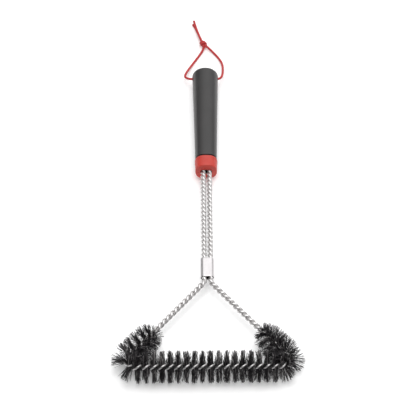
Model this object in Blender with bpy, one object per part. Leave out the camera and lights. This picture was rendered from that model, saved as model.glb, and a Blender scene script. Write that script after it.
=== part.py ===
"""Three-sided grill cleaning brush, lying on a table.

Two steel wires are twisted together over one long run: down the left leg from the handle, out along
the left arm, round the left corner, across the front of the head, and back up the right side. A row
of bristles is trapped between the two wires all round the head, so it forms one helical fin. An oval
steel ferrule holds the two legs side by side. The legs end inside the handle, and a knotted cord loop
passes through a cross hole at the handle's butt, about which it swings.

The frame: +Y runs from the head to the butt of the grip, +Z is up, and the origin is on the table
below the middle of the brush.
"""

import math

import bmesh
import bpy
from mathutils import Matrix, Vector

MM = 0.001

# Overall layout.
BRUSH_LENGTH = 457.5 * MM
BRISTLE_RADIUS = 17.5 * MM
AXIS_Z = 16.5 * MM  # height of the wires' centreline and of the handle's axis
FIT_GAP = 0.3 * MM  # left between neighbouring pieces
HEAD_Y = BRISTLE_RADIUS - BRUSH_LENGTH / 2
GRIP_END_Y = BRUSH_LENGTH / 2

# Route of the twisted pair: where its straight runs would meet, and the bends between them.
LEG_X = 3.6 * MM
LEG_TOP_Y = HEAD_Y + 318.0 * MM
SHOULDER_Y = HEAD_Y + 110.5 * MM
CORNER_X = 97.2 * MM
SHOULDER_BEND = 8.0 * MM
CORNER_BEND = 8.0 * MM
BRISTLE_START_Y = HEAD_Y + 43.5 * MM  # where the bare arm ends and the bristles begin

# The two wires.
WIRE_RADIUS = 1.48 * MM
BARE_LAY_RADIUS = 1.72 * MM  # each wire's distance from the centreline where they lie together
BRISTLED_LAY_RADIUS = 2.5 * MM  # and where they clamp the bristles
LEFT_LEG_PITCH = 12.33 * MM
LEFT_ARM_PITCH = 13.65 * MM
BRISTLED_PITCH = 17.5 * MM
RIGHT_ARM_PITCH = 13.62 * MM
RIGHT_LEG_PITCH = 12.96 * MM
LOOSE_TWIST_INSIDE = 8.8 * MM  # from the left arm's first bristle to where the twist opens out
LOOSE_TWIST_OUTSIDE = 2.6 * MM  # from the right arm's last bristle to where it closes again
TWIST_START = math.radians(84.0)
WIRE_SIDES = 5
STEPS_PER_TURN = 8

# The bristle fins.
FIN_NECK_HALF_THICKNESS = 0.5 * MM  # where the fin passes between the wires
FIN_NECK_STEPS = (1.2 * MM, 4.6 * MM)  # inside the wires and just clear of them
FIN_HALF_ANGLE = math.radians(45.0)
CLEAR_OF_BISECTOR = 0.3 * MM
ARM_FINS = 2
FRONT_FINS = 9

# The ferrule round the two legs.
FERRULE_FRONT_Y = HEAD_Y + 115.8 * MM
FERRULE_LENGTH = 26.0 * MM
FERRULE_WIDTH = 15.8 * MM
FERRULE_HEIGHT = 8.0 * MM
FERRULE_WALL = 0.45 * MM

# The handle: collar, anchor block and grip.
COLLAR_FRONT_Y = HEAD_Y + 273.0 * MM
COLLAR_LENGTH = 16.8 * MM
COLLAR_FRONT_HALF = 13.2 * MM
COLLAR_BACK_HALF = 13.75 * MM
COLLAR_ROUNDING = 1.2 * MM
SPIGOT_LENGTH = 10.0 * MM
CAVITY_RADIUS = 9.8 * MM
CAVITY_LENGTH = 110.0 * MM
ANCHOR_LENGTH = 26.0 * MM
STRAND_POCKET_WIDTH = 14.6 * MM
STRAND_POCKET_HEIGHT = 7.6 * MM
POCKET_BEYOND_WIRES = 1.5 * MM
GRIP_FRONT_HALF = 13.4 * MM
GRIP_END_HALF_WIDTH = 17.0 * MM
GRIP_END_HALF_HEIGHT = 16.4 * MM
GRIP_FLARE_POWER = 1.1
GRIP_END_ROUNDING = 5.0 * MM
GRIP_FRONT_ROUNDING = 0.8 * MM
SECTION_POWER = 2.5  # superellipse exponent of the handle's section: 2 is a true ellipse
BUTT_SECTION_POWER = 2.05
SECTION_POINTS = 32

# The hanging cord.
HOLE_Y = GRIP_END_Y - 7.5 * MM
HOLE_RADIUS = 2.2 * MM
CORD_RADIUS = 1.55 * MM
CORD_POINT_SPACING = 4.5 * MM
KNOT_CENTRE = (-2.1, 77.8, -11.2)
KNOT_RADII = (5.5, 5.2, 5.1)

# The cord's routes, in millimetres from the middle of the cross hole.
LEFT_CORD = [
    (-0.15, 0.0, 0.0),
    (-8.0, 0.0, 0.0),
    (-15.0, 0.0, -0.1),
    (-19.0, 0.4, -0.4),
    (-22.7, 1.9, -1.1),
    (-25.6, 5.2, -2.3),
    (-26.5, 9.6, -3.9),
    (-25.7, 14.6, -5.7),
    (-24.0, 21.4, -8.2),
    (-21.0, 30.4, -11.2),
    (-17.0, 40.0, -13.5),
    (-12.2, 50.0, -14.7),
    (-7.3, 59.0, -14.8),
    (-3.3, 66.6, -13.7),
    (-1.3, 72.0, -12.3),
]
RIGHT_CORD = [
    (0.15, 0.0, 0.0),
    (8.0, 0.0, 0.0),
    (15.0, 0.0, -0.1),
    (18.6, 0.9, -0.5),
    (21.1, 4.0, -1.4),
    (22.5, 9.2, -2.9),
    (23.4, 16.6, -5.1),
    (23.8, 25.6, -8.0),
    (23.5, 35.6, -11.1),
    (21.7, 45.6, -13.6),
    (17.8, 54.6, -14.7),
    (12.4, 62.8, -14.6),
    (6.9, 69.4, -13.4),
    (2.5, 73.7, -12.1),
]
LONG_TAIL = [
    (-4.8, 83.2, -10.0),
    (-6.0, 88.0, -10.4),
    (-7.2, 92.0, -10.8),
    (-10.0, 102.0, -11.2),
    (-12.4, 112.0, -11.4),
    (-13.8, 119.0, -11.7),
    (-14.7, 124.4, -12.7),
]
SHORT_TAIL = [
    (-3.9, 83.6, -13.5),
    (-5.1, 88.0, -13.9),
    (-6.2, 92.0, -14.3),
    (-9.1, 102.0, -14.7),
    (-12.6, 112.0, -14.85),
    (-15.9, 119.9, -14.85),
]


def clear_scene():
    for old in list(bpy.data.objects):
        bpy.data.objects.remove(old, do_unlink=True)


def make_material(name, colour, roughness, metallic=0.0):
    material = bpy.data.materials.new(name)
    material.use_nodes = True
    shader = material.node_tree.nodes["Principled BSDF"]
    shader.inputs["Base Color"].default_value = (*colour, 1.0)
    shader.inputs["Roughness"].default_value = roughness
    shader.inputs["Metallic"].default_value = metallic
    return material


def add_object(name, data, material, parent=None):
    data.materials.append(material)
    made = bpy.data.objects.new(name, data)
    bpy.context.scene.collection.objects.link(made)
    made.parent = parent
    return made


def loft(name, rings, material, parent=None, sharp_above=40.0):
    """A closed solid through rings of equally many points, with a flat cap at each end."""
    mesh = bpy.data.meshes.new(name)
    shape = bmesh.new()
    loops = [[shape.verts.new(point) for point in ring] for ring in rings]
    count = len(loops[0])
    for near, far in zip(loops, loops[1:]):
        for i in range(count):
            j = (i + 1) % count
            shape.faces.new((near[i], near[j], far[j], far[i]))
    shape.faces.new(loops[0])
    shape.faces.new(loops[-1])
    bmesh.ops.recalc_face_normals(shape, faces=shape.faces)
    shape.to_mesh(mesh)
    shape.free()
    mesh.shade_smooth()
    mesh.set_sharp_from_angle(angle=math.radians(sharp_above))
    return add_object(name, mesh, material, parent)


def cut(target, cutter):
    """Subtracts the cutter, which stays in the scene as a helper that is not part of the brush."""
    cutter.hide_render = True
    cutter.display_type = "WIRE"
    boolean = target.modifiers.new("cut_" + cutter.name, "BOOLEAN")
    boolean.operation = "DIFFERENCE"
    boolean.solver = "EXACT"
    boolean.object = cutter


def superellipse_ring(y, half_width, half_height=None, power=SECTION_POWER, points=SECTION_POINTS):
    """A ring across the handle's axis with flattened sides, as high as it is wide if no height is given."""
    if half_height is None:
        half_height = half_width
    ring = []
    for i in range(points):
        angle = math.tau * i / points
        c, s = math.cos(angle), math.sin(angle)
        x = math.copysign(abs(c) ** (2 / power), c) * half_width
        z = math.copysign(abs(s) ** (2 / power), s) * half_height
        ring.append(Vector((x, y, AXIS_Z + z)))
    return ring


def stadium_ring(y, width, height, points_per_end=9):
    """A ring across the legs: two half circles joined by flats above and below."""
    radius = height / 2
    centre_x = width / 2 - radius
    ring = []
    for side, first in ((1, -90.0), (-1, 90.0)):
        for i in range(points_per_end):
            angle = math.radians(first + 180.0 * i / (points_per_end - 1))
            ring.append(
                Vector((side * centre_x + radius * math.cos(angle), y, AXIS_Z + radius * math.sin(angle)))
            )
    return ring


class Route:
    """A flat centreline of straight runs and round bends, measured by the distance along it."""

    def __init__(self, corners, bends):
        self.runs = []  # (start distance, length, start point, direction, bend radius, signed turn)
        self.length = 0.0
        at = corners[0]
        for k, radius in enumerate(bends, start=1):
            into = (corners[k] - corners[k - 1]).normalized()
            out = (corners[k + 1] - corners[k]).normalized()
            turn = into.angle(out)
            side = math.copysign(1.0, into.cross(out).z)
            trim = radius * math.tan(turn / 2)
            bend_start = corners[k] - into * trim
            self._add(at, into, (bend_start - at).length, 0.0, 0.0)
            self._add(bend_start, into, radius * turn, radius, side)
            at = corners[k] + out * trim
        last = (corners[-1] - corners[-2]).normalized()
        self._add(at, last, (corners[-1] - at).length, 0.0, 0.0)

    def _add(self, start, direction, length, radius, side):
        self.runs.append((self.length, length, start, direction, radius, side))
        self.length += length

    def run_start(self, index):
        return self.runs[index][0]

    def at(self, distance):
        """(point, tangent, bend radius, side of the bend's centre) at this distance."""
        for begin, length, start, direction, radius, side in self.runs:
            if distance <= begin + length:
                break
        along = distance - begin
        if not radius:
            return start + direction * along, direction, 0.0, 0.0
        turned = side * along / radius
        tangent = Matrix.Rotation(turned, 3, "Z") @ direction
        centre = start + Vector((-direction.y, direction.x, 0.0)) * side * radius
        return centre + Matrix.Rotation(turned, 3, "Z") @ (start - centre), tangent, radius, side


def strand_route():
    corners = [
        (-LEG_X, LEG_TOP_Y),
        (-LEG_X, SHOULDER_Y),
        (-CORNER_X, HEAD_Y),
        (CORNER_X, HEAD_Y),
        (LEG_X, SHOULDER_Y),
        (LEG_X, LEG_TOP_Y),
    ]
    return Route(
        [Vector((x, y, AXIS_Z)) for x, y in corners],
        [SHOULDER_BEND, CORNER_BEND, CORNER_BEND, SHOULDER_BEND],
    )


class Strand:
    """The twisted pair on its route: where each wire is, and where it clamps the bristles."""

    def __init__(self, route):
        self.route = route
        arm = Vector((CORNER_X - LEG_X, SHOULDER_Y - HEAD_Y, 0.0))
        below_shoulder = (SHOULDER_Y - BRISTLE_START_Y) / math.sin(math.atan2(arm.y, arm.x))
        shoulder_trim = SHOULDER_BEND * math.tan((math.pi / 2 - math.atan2(arm.y, arm.x)) / 2)
        self.leg_end = route.run_start(1)
        self.bristles_start = route.run_start(2) + below_shoulder - shoulder_trim
        self.bristles_end = route.length - self.bristles_start

        behind_ferrule = LEG_TOP_Y - FERRULE_FRONT_Y - FERRULE_LENGTH
        self.stretches = (
            (self.leg_end, LEFT_LEG_PITCH),
            (self.bristles_start + LOOSE_TWIST_INSIDE, LEFT_ARM_PITCH),
            (self.bristles_end + LOOSE_TWIST_OUTSIDE, BRISTLED_PITCH),
            (route.length - behind_ferrule, RIGHT_ARM_PITCH),
            (route.length, RIGHT_LEG_PITCH),
        )

    def turns(self, distance):
        """Turns of twist from the start of the left leg to this distance."""
        total, begin = 0.0, 0.0
        for end, pitch in self.stretches:
            total += (min(distance, end) - begin) / pitch
            if distance <= end:
                break
            begin = end
        return total

    def distance_at(self, turns):
        """The distance at which this many turns have been made."""
        begin = 0.0
        for end, pitch in self.stretches:
            if turns <= (end - begin) / pitch:
                break
            turns -= (end - begin) / pitch
            begin = end
        return begin + turns * pitch

    def frame(self, distance):
        """(point, tangent, across, up, twist angle): the twist is left-handed."""
        point, tangent, _, _ = self.route.at(distance)
        across = Vector((-tangent.y, tangent.x, 0.0))
        up = Vector((0.0, 0.0, 1.0))
        return point, tangent, across, up, TWIST_START - math.tau * self.turns(distance)

    def lay_radius(self, distance):
        """How far each wire lies from the centreline, widening over a few millimetres before the bristles."""
        spread = 6.0 * MM
        inside = min(distance - self.bristles_start, self.bristles_end - distance)
        share = min(max(inside / spread + 1.0, 0.0), 1.0)
        return BARE_LAY_RADIUS + (BRISTLED_LAY_RADIUS - BARE_LAY_RADIUS) * share

    def wire_point(self, distance, phase):
        point, _, across, up, twist = self.frame(distance)
        out = across * math.cos(twist + phase) + up * math.sin(twist + phase)
        return point + out * self.lay_radius(distance), out

    def stations(self, begin, end):
        """Distances at equal shares of a turn, the same ones for every piece, with the piece's ends."""
        first, last = self.turns(begin) * STEPS_PER_TURN, self.turns(end) * STEPS_PER_TURN
        nearest = 0.3  # of a step, so that no slice at an end is too thin
        steps = range(math.ceil(first + nearest), math.floor(last - nearest) + 1)
        return [begin, *(self.distance_at(step / STEPS_PER_TURN) for step in steps), end]


def make_wire(name, strand, begin, end, phase, material):
    """One wire of the pair between two distances: a round bar along its own helix."""
    begin, end = begin + FIT_GAP / 2, end - FIT_GAP / 2
    probe = 0.05 * MM
    rings = []
    for distance in strand.stations(begin, end):
        centre, out = strand.wire_point(distance, phase)
        ahead, _ = strand.wire_point(min(distance + probe, end), phase)
        behind, _ = strand.wire_point(max(distance - probe, begin), phase)
        along = (ahead - behind).normalized()
        side = along.cross(out).normalized()
        face = side.cross(along)
        rings.append(
            [
                centre
                + (face * math.cos(math.tau * i / WIRE_SIDES) + side * math.sin(math.tau * i / WIRE_SIDES))
                * WIRE_RADIUS
                for i in range(WIRE_SIDES)
            ]
        )
    return loft(name, rings, material, sharp_above=80.0)


def bristle_reach(strand, distance, direction):
    """How long a bristle is in this direction, given the table and its neighbours round the corners."""
    point, tangent, radius, _ = strand.route.at(distance)
    reach = BRISTLE_RADIUS
    if direction.z < 0.0:
        reach = min(reach, AXIS_Z / -direction.z)
    across = Vector((-tangent.y, tangent.x, 0.0))
    if radius:
        inward = direction.dot(across)
        if inward > 0.0:
            reach = min(reach, (radius - 5 * CLEAR_OF_BISECTOR) / inward)
        return reach
    arm_angle = math.atan2(SHOULDER_Y - HEAD_Y, CORNER_X - LEG_X)
    for side in (-1.0, 1.0):
        corner = Vector((side * CORNER_X, HEAD_Y, AXIS_Z))
        bisector = Vector((-side * math.cos(arm_angle / 2), math.sin(arm_angle / 2), 0.0))
        normal = Vector((-bisector.y, bisector.x, 0.0))
        away = (point - corner).dot(normal)
        closing = -direction.dot(normal) * math.copysign(1.0, away)
        if closing > 0.0:
            reach = min(reach, (abs(away) - CLEAR_OF_BISECTOR) / closing)
    return reach


def make_fin(name, strand, begin, end, material):
    """A stretch of the bristle row: a bow-tie section that turns with the wires clamping it."""
    begin, end = begin + FIT_GAP / 2, end - FIT_GAP / 2
    third = FIN_HALF_ANGLE / 3
    rings = []
    for distance in strand.stations(begin, end):
        point, _, across, up, twist = strand.frame(distance)
        row = twist + math.pi / 2  # the bristles lie between the wires, square to the line joining them
        flat = across * math.cos(row) + up * math.sin(row)
        thick = up * math.cos(row) - across * math.sin(row)
        ring = []
        for side in (1.0, -1.0):
            neck = [point + flat * side * step for step in FIN_NECK_STEPS]
            ring += [at - thick * side * FIN_NECK_HALF_THICKNESS for at in neck]
            for turned in (-3 * third, -third, third, 3 * third):
                ray = (flat * math.cos(turned) + thick * math.sin(turned)) * side
                ring.append(point + ray * bristle_reach(strand, distance, ray))
            ring += [at + thick * side * FIN_NECK_HALF_THICKNESS for at in reversed(neck)]
        rings.append(ring)
    return loft(name, rings, material, sharp_above=30.0)


def make_wires(strand, steel):
    """Both wires, each cut into its straight and bent stretches; the cuts are hidden."""
    route = strand.route
    ferrule_middle = LEG_TOP_Y - (FERRULE_FRONT_Y + FERRULE_LENGTH / 2)
    ends = [
        ("left_leg", 0.0, ferrule_middle),
        ("left_arm", ferrule_middle, route.run_start(3)),
        ("left_corner", route.run_start(3), route.run_start(4)),
        ("front", route.run_start(4), route.run_start(5)),
        ("right_corner", route.run_start(5), route.run_start(6)),
        ("right_arm", route.run_start(6), route.length - ferrule_middle),
        ("right_leg", route.length - ferrule_middle, route.length),
    ]
    for wire, phase in (("wire_a", 0.0), ("wire_b", math.pi)):
        for stretch, begin, end in ends:
            make_wire(f"{wire}_{stretch}", strand, begin, end, phase, steel)


def make_bristles(strand, black):
    """The bristle row in stretches of about one turn, so that none bends round a corner and a side."""
    route = strand.route
    stretches = [
        ("left_arm", strand.bristles_start, route.run_start(3), ARM_FINS),
        ("left_corner", route.run_start(3), route.run_start(4), 1),
        ("front", route.run_start(4), route.run_start(5), FRONT_FINS),
        ("right_corner", route.run_start(5), route.run_start(6), 1),
        ("right_arm", route.run_start(6), strand.bristles_end, ARM_FINS),
    ]
    for place, begin, end, count in stretches:
        for i in range(count):
            name = f"bristles_{place}_{i + 1}" if count > 1 else f"bristles_{place}"
            step = (end - begin) / count
            make_fin(name, strand, begin + step * i, begin + step * (i + 1), black)


def make_ferrule(steel):
    """The crimped oval sleeve, open at both ends for the two legs."""
    back_y = FERRULE_FRONT_Y + FERRULE_LENGTH
    sleeve = loft(
        "ferrule",
        [stadium_ring(y, FERRULE_WIDTH, FERRULE_HEIGHT) for y in (FERRULE_FRONT_Y, back_y)],
        steel,
    )
    inner = (FERRULE_WIDTH - 2 * FERRULE_WALL, FERRULE_HEIGHT - 2 * FERRULE_WALL)
    bore = loft(
        "ferrule_bore_cutter",
        [stadium_ring(y, *inner) for y in (FERRULE_FRONT_Y - MM, back_y + MM)],
        steel,
    )
    cut(sleeve, bore)


def make_collar(red):
    """The red collar: a rounded ring in front of the grip with a round spigot that plugs into it."""
    back_y = COLLAR_FRONT_Y + COLLAR_LENGTH
    rings = []
    rounding_steps = 3
    for i in range(rounding_steps + 1):
        angle = math.pi / 2 * i / rounding_steps
        rings.append(
            superellipse_ring(
                COLLAR_FRONT_Y + COLLAR_ROUNDING * (1 - math.sin(angle)),
                COLLAR_FRONT_HALF - COLLAR_ROUNDING * (1 - math.cos(angle)),
            )
        )
    rings.reverse()
    rings.append(superellipse_ring(back_y, COLLAR_BACK_HALF))
    spigot_radius = CAVITY_RADIUS - FIT_GAP
    for y in (back_y, back_y + SPIGOT_LENGTH):
        rings.append(superellipse_ring(y, spigot_radius, power=2.0))
    collar = loft("handle_collar", rings, red)
    socket_ends = (COLLAR_FRONT_Y - MM, back_y + SPIGOT_LENGTH + MM)
    socket = loft(
        "collar_socket_cutter",
        [stadium_ring(y, STRAND_POCKET_WIDTH, STRAND_POCKET_HEIGHT) for y in socket_ends],
        red,
    )
    cut(collar, socket)


def make_anchor(black):
    """The block inside the grip that holds the legs' ends in a pocket."""
    front_y = COLLAR_FRONT_Y + COLLAR_LENGTH + SPIGOT_LENGTH + FIT_GAP
    back_y = front_y + ANCHOR_LENGTH
    radius = CAVITY_RADIUS - FIT_GAP
    block = loft(
        "wire_anchor_block",
        [superellipse_ring(y, radius, power=2.0, points=24) for y in (front_y, back_y)],
        black,
    )
    pocket = loft(
        "anchor_pocket_cutter",
        [
            stadium_ring(y, STRAND_POCKET_WIDTH, STRAND_POCKET_HEIGHT)
            for y in (front_y - MM, LEG_TOP_Y + POCKET_BEYOND_WIRES)
        ],
        black,
    )
    cut(block, pocket)


def make_grip(black):
    """The moulded grip: it flares and grows rounder towards the butt, and is hollow from the front."""
    front_y = COLLAR_FRONT_Y + COLLAR_LENGTH + FIT_GAP
    length = GRIP_END_Y - front_y

    def section(ring_y, shape_y, inset):
        share = (shape_y - front_y) / length
        flare = share**GRIP_FLARE_POWER
        half_width = GRIP_FRONT_HALF + (GRIP_END_HALF_WIDTH - GRIP_FRONT_HALF) * flare
        half_height = GRIP_FRONT_HALF + (GRIP_END_HALF_HEIGHT - GRIP_FRONT_HALF) * flare
        power = SECTION_POWER + (BUTT_SECTION_POWER - SECTION_POWER) * share
        return superellipse_ring(ring_y, half_width - inset, half_height - inset, power)

    rings = [section(front_y, front_y, GRIP_FRONT_ROUNDING)]
    body_steps = 8
    body_start = front_y + GRIP_FRONT_ROUNDING
    body_end = GRIP_END_Y - GRIP_END_ROUNDING
    for i in range(body_steps + 1):
        y = body_start + (body_end - body_start) * i / body_steps
        rings.append(section(y, y, 0.0))
    rounding_steps = 5
    for i in range(1, rounding_steps + 1):
        angle = math.pi / 2 * i / rounding_steps
        end_y = body_end + GRIP_END_ROUNDING * math.sin(angle)
        rings.append(section(end_y, body_end, GRIP_END_ROUNDING * (1 - math.cos(angle))))
    grip = loft("handle_grip", rings, black)
    cavity = loft(
        "grip_cavity_cutter",
        [
            superellipse_ring(y, CAVITY_RADIUS, power=2.0, points=24)
            for y in (front_y - MM, front_y + CAVITY_LENGTH)
        ],
        black,
    )
    cut(grip, cavity)
    hole_points = 12
    hole = loft(
        "grip_cross_hole_cutter",
        [
            [
                Vector(
                    (
                        side * (GRIP_END_HALF_WIDTH + MM),
                        HOLE_Y + HOLE_RADIUS * math.cos(math.tau * i / hole_points),
                        AXIS_Z + HOLE_RADIUS * math.sin(math.tau * i / hole_points),
                    )
                )
                for i in range(hole_points)
            ]
            for side in (-1, 1)
        ],
        black,
    )
    cut(grip, hole)


def smooth_route(points, spacing):
    """Evenly spaced points on a Catmull-Rom curve through the route's own points."""
    route = [Vector(p) * MM for p in points]
    padded = [2 * route[0] - route[1], *route, 2 * route[-1] - route[-2]]
    fine = []
    per_span = 16
    for a, b, c, d in zip(padded, padded[1:], padded[2:], padded[3:]):
        for i in range(per_span):
            t = i / per_span
            fine.append(
                0.5
                * (
                    2 * b
                    + (c - a) * t
                    + (2 * a - 5 * b + 4 * c - d) * t**2
                    + (3 * b - a - 3 * c + d) * t**3
                )
            )
    fine.append(route[-1])
    travelled = [0.0]
    for near, far in zip(fine, fine[1:]):
        travelled.append(travelled[-1] + (far - near).length)
    count = round(travelled[-1] / spacing)
    picked, k = [], 0
    for i in range(count + 1):
        goal = travelled[-1] * i / count
        while k < len(fine) - 2 and travelled[k + 1] < goal:
            k += 1
        share = (goal - travelled[k]) / (travelled[k + 1] - travelled[k])
        picked.append(fine[k].lerp(fine[k + 1], share))
    return picked


def make_cord(name, points, red, pivot):
    """A stretch of the round cord: a bevelled curve with filled ends."""
    curve = bpy.data.curves.new(name, "CURVE")
    curve.dimensions = "3D"
    curve.bevel_depth = CORD_RADIUS
    curve.bevel_resolution = 2
    curve.use_fill_caps = True
    spline = curve.splines.new("POLY")
    route = smooth_route(points, CORD_POINT_SPACING)
    spline.points.add(len(route) - 1)
    for place, point in zip(spline.points, route):
        place.co = (*point, 1.0)
    spline.use_smooth = True
    return add_object(name, curve, red, pivot)


def make_knot(red, pivot):
    mesh = bpy.data.meshes.new("hang_cord_knot")
    shape = bmesh.new()
    bmesh.ops.create_uvsphere(shape, u_segments=12, v_segments=8, radius=MM)
    bmesh.ops.scale(shape, vec=KNOT_RADII, verts=shape.verts)
    bmesh.ops.translate(shape, vec=Vector(KNOT_CENTRE) * MM, verts=shape.verts)
    shape.to_mesh(mesh)
    shape.free()
    mesh.shade_smooth()
    return add_object("hang_cord_knot", mesh, red, pivot)


def make_hanging_loop(red):
    """The knotted loop: its pieces hang from one pivot at the middle of the cross hole."""
    pivot = bpy.data.objects.new("hang_loop_pivot", None)
    bpy.context.scene.collection.objects.link(pivot)
    pivot.location = (0.0, HOLE_Y, AXIS_Z)
    make_cord("hang_cord_left", LEFT_CORD, red, pivot)
    make_cord("hang_cord_right", RIGHT_CORD, red, pivot)
    make_knot(red, pivot)
    make_cord("hang_cord_long_tail", LONG_TAIL, red, pivot)
    make_cord("hang_cord_short_tail", SHORT_TAIL, red, pivot)


def main():
    clear_scene()
    steel_wire = make_material("steel_wire", (0.62, 0.60, 0.60), 0.35, 1.0)
    polished_steel = make_material("polished_steel", (0.80, 0.79, 0.79), 0.18, 1.0)
    black_bristle = make_material("black_bristle", (0.02, 0.019, 0.02), 0.5)
    black_plastic = make_material("black_plastic", (0.035, 0.034, 0.034), 0.45)
    red_plastic = make_material("red_plastic", (0.55, 0.035, 0.035), 0.4)
    red_cord = make_material("red_cord", (0.5, 0.04, 0.04), 0.8)

    strand = Strand(strand_route())
    make_wires(strand, steel_wire)
    make_bristles(strand, black_bristle)
    make_ferrule(polished_steel)
    make_collar(red_plastic)
    make_anchor(black_plastic)
    make_grip(black_plastic)
    make_hanging_loop(red_cord)


main()
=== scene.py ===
"""The looks of a three-sided grill cleaning brush that lies on a white table.

Two steel wires are twisted together down one leg, round a triangular head and back up the other
leg, and hold a helical row of black bristles. A steel ferrule joins the legs, a red collar and a
black grip make the handle, and a knotted red cord hangs from a cross hole at the grip's butt.
"""

import math

import bmesh
import bpy
import numpy as np
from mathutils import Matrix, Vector


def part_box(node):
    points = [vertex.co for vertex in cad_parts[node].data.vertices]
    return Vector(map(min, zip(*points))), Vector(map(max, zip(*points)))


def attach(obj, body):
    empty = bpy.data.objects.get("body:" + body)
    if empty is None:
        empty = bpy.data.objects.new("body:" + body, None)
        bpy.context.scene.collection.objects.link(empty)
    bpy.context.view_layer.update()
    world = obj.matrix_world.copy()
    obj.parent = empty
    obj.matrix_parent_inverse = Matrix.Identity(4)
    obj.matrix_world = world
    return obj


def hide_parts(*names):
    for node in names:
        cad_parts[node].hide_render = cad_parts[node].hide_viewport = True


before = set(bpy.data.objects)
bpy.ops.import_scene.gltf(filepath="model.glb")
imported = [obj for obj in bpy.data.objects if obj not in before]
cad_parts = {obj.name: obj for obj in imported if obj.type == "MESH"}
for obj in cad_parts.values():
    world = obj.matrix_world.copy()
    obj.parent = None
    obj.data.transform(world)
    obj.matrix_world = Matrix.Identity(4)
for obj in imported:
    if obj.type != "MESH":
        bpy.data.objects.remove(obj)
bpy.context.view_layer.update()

MM = 0.001
SEED = 2584
ROUTE_STEPS = 24  # points on each span of a smooth route before it is spaced evenly
TUBE_END_BULGE = 0.35  # how far a round bar's end stands out, as a share of its radius


def span(*nodes):
    """Lowest and highest corners of several CAD nodes together."""
    boxes = [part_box(node) for node in nodes]
    low = Vector([min(b[0][i] for b in boxes) for i in range(3)])
    high = Vector([max(b[1][i] for b in boxes) for i in range(3)])
    return low, high


# Where the CAD pieces are.
grip_low, grip_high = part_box("handle_grip")
collar_low, collar_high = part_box("handle_collar")
ferrule_low, ferrule_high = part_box("ferrule")
front_low, front_high = span("wire_a_front", "wire_b_front")
AXIS_Z = (grip_low.z + grip_high.z) / 2
GRIP_END_Y = grip_high.y
HEAD_Y = (front_low.y + front_high.y) / 2
HOLE_FROM_END = 7.5 * MM
HOLE_Y = GRIP_END_Y - HOLE_FROM_END

# ------------------------------------------------------------------ camera

CAMERA_ELEVATION = 52.152
CAMERA_YAW = -0.537
CAMERA_LENS = 96.585
CAMERA_SENSOR = 36.0
CAMERA_BEFORE_HEAD = 604.42 * MM
CAMERA_SIDE = -0.296 * MM
CAMERA_ABOVE_AXIS = 1057.2 * MM


def make_camera():
    data = bpy.data.cameras.new("camera")
    data.lens = CAMERA_LENS
    data.sensor_width = CAMERA_SENSOR
    data.clip_start = 0.05
    data.clip_end = 50.0
    camera = bpy.data.objects.new("camera", data)
    bpy.context.scene.collection.objects.link(camera)
    yaw = math.radians(CAMERA_YAW)
    x, y = CAMERA_SIDE, -CAMERA_BEFORE_HEAD
    camera.location = (
        x * math.cos(yaw) - y * math.sin(yaw),
        HEAD_Y + x * math.sin(yaw) + y * math.cos(yaw),
        AXIS_Z + CAMERA_ABOVE_AXIS,
    )
    camera.rotation_euler = (math.radians(90.0 - CAMERA_ELEVATION), 0.0, yaw)
    bpy.context.scene.camera = camera


make_camera()

# --------------------------------------------------------------- mesh code


def mesh_object(name, points, quads=(), triangles=(), uv=None, smooth=True, sharp=40.0):
    """An object from arrays of points and faces, with one UV pair for each point if given.

    Edges that bend by more than sharp degrees stay crisp.
    """
    points = np.asarray(points, float).reshape(-1, 3)
    parts = [np.asarray(f, np.int64).reshape(-1, n) for f, n in ((quads, 4), (triangles, 3))]
    corners = np.concatenate([f.ravel() for f in parts])
    sizes = np.concatenate([np.full(len(f), f.shape[1]) for f in parts])
    mesh = bpy.data.meshes.new(name)
    mesh.vertices.add(len(points))
    mesh.vertices.foreach_set("co", points.astype(np.float32).ravel())
    mesh.loops.add(len(corners))
    mesh.loops.foreach_set("vertex_index", corners.astype(np.int32))
    mesh.polygons.add(len(sizes))
    mesh.polygons.foreach_set("loop_start", (np.cumsum(sizes) - sizes).astype(np.int32))
    if uv is not None:
        layer = mesh.uv_layers.new(name="UVMap")
        layer.data.foreach_set("uv", np.asarray(uv, np.float32)[corners].ravel())
    mesh.update(calc_edges=True)
    mesh.validate()
    if smooth:
        mesh.shade_smooth()
        mesh.set_sharp_from_angle(angle=math.radians(sharp))
    made = bpy.data.objects.new(name, mesh)
    bpy.context.scene.collection.objects.link(made)
    return made


def ring_quads(rings, sides):
    """Faces between rings of points that follow one another, closed round each ring."""
    ring = np.arange(rings - 1)[:, None] * sides
    i = np.arange(sides)[None, :]
    j = (i + 1) % sides
    quads = np.stack([ring + i, ring + j, ring + sides + j, ring + sides + i], -1)
    return quads.reshape(-1, 4)


def fan(centre, ring, flip=False):
    """Triangles from one point to a ring of points."""
    after = np.roll(ring, -1)
    order = (ring, after) if not flip else (after, ring)
    return np.stack([np.full(len(ring), centre), *order], -1)


def path_frames(points):
    """Tangents, and two directions square to them that don't turn about the path."""
    tangent = np.gradient(points, axis=0)
    tangent /= np.linalg.norm(tangent, axis=1, keepdims=True)
    side = np.zeros_like(points)
    start = np.cross(tangent[0], (0.0, 0.0, 1.0))
    if np.linalg.norm(start) < 1e-6:
        start = np.cross(tangent[0], (1.0, 0.0, 0.0))
    side[0] = start / np.linalg.norm(start)
    for k in range(1, len(points)):
        carried = side[k - 1] - tangent[k] * side[k - 1].dot(tangent[k])
        side[k] = carried / np.linalg.norm(carried)
    return tangent, side, np.cross(side, tangent)


def travelled(points):
    steps = np.linalg.norm(np.diff(points, axis=0), axis=1)
    return np.concatenate([[0.0], np.cumsum(steps)])


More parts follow.
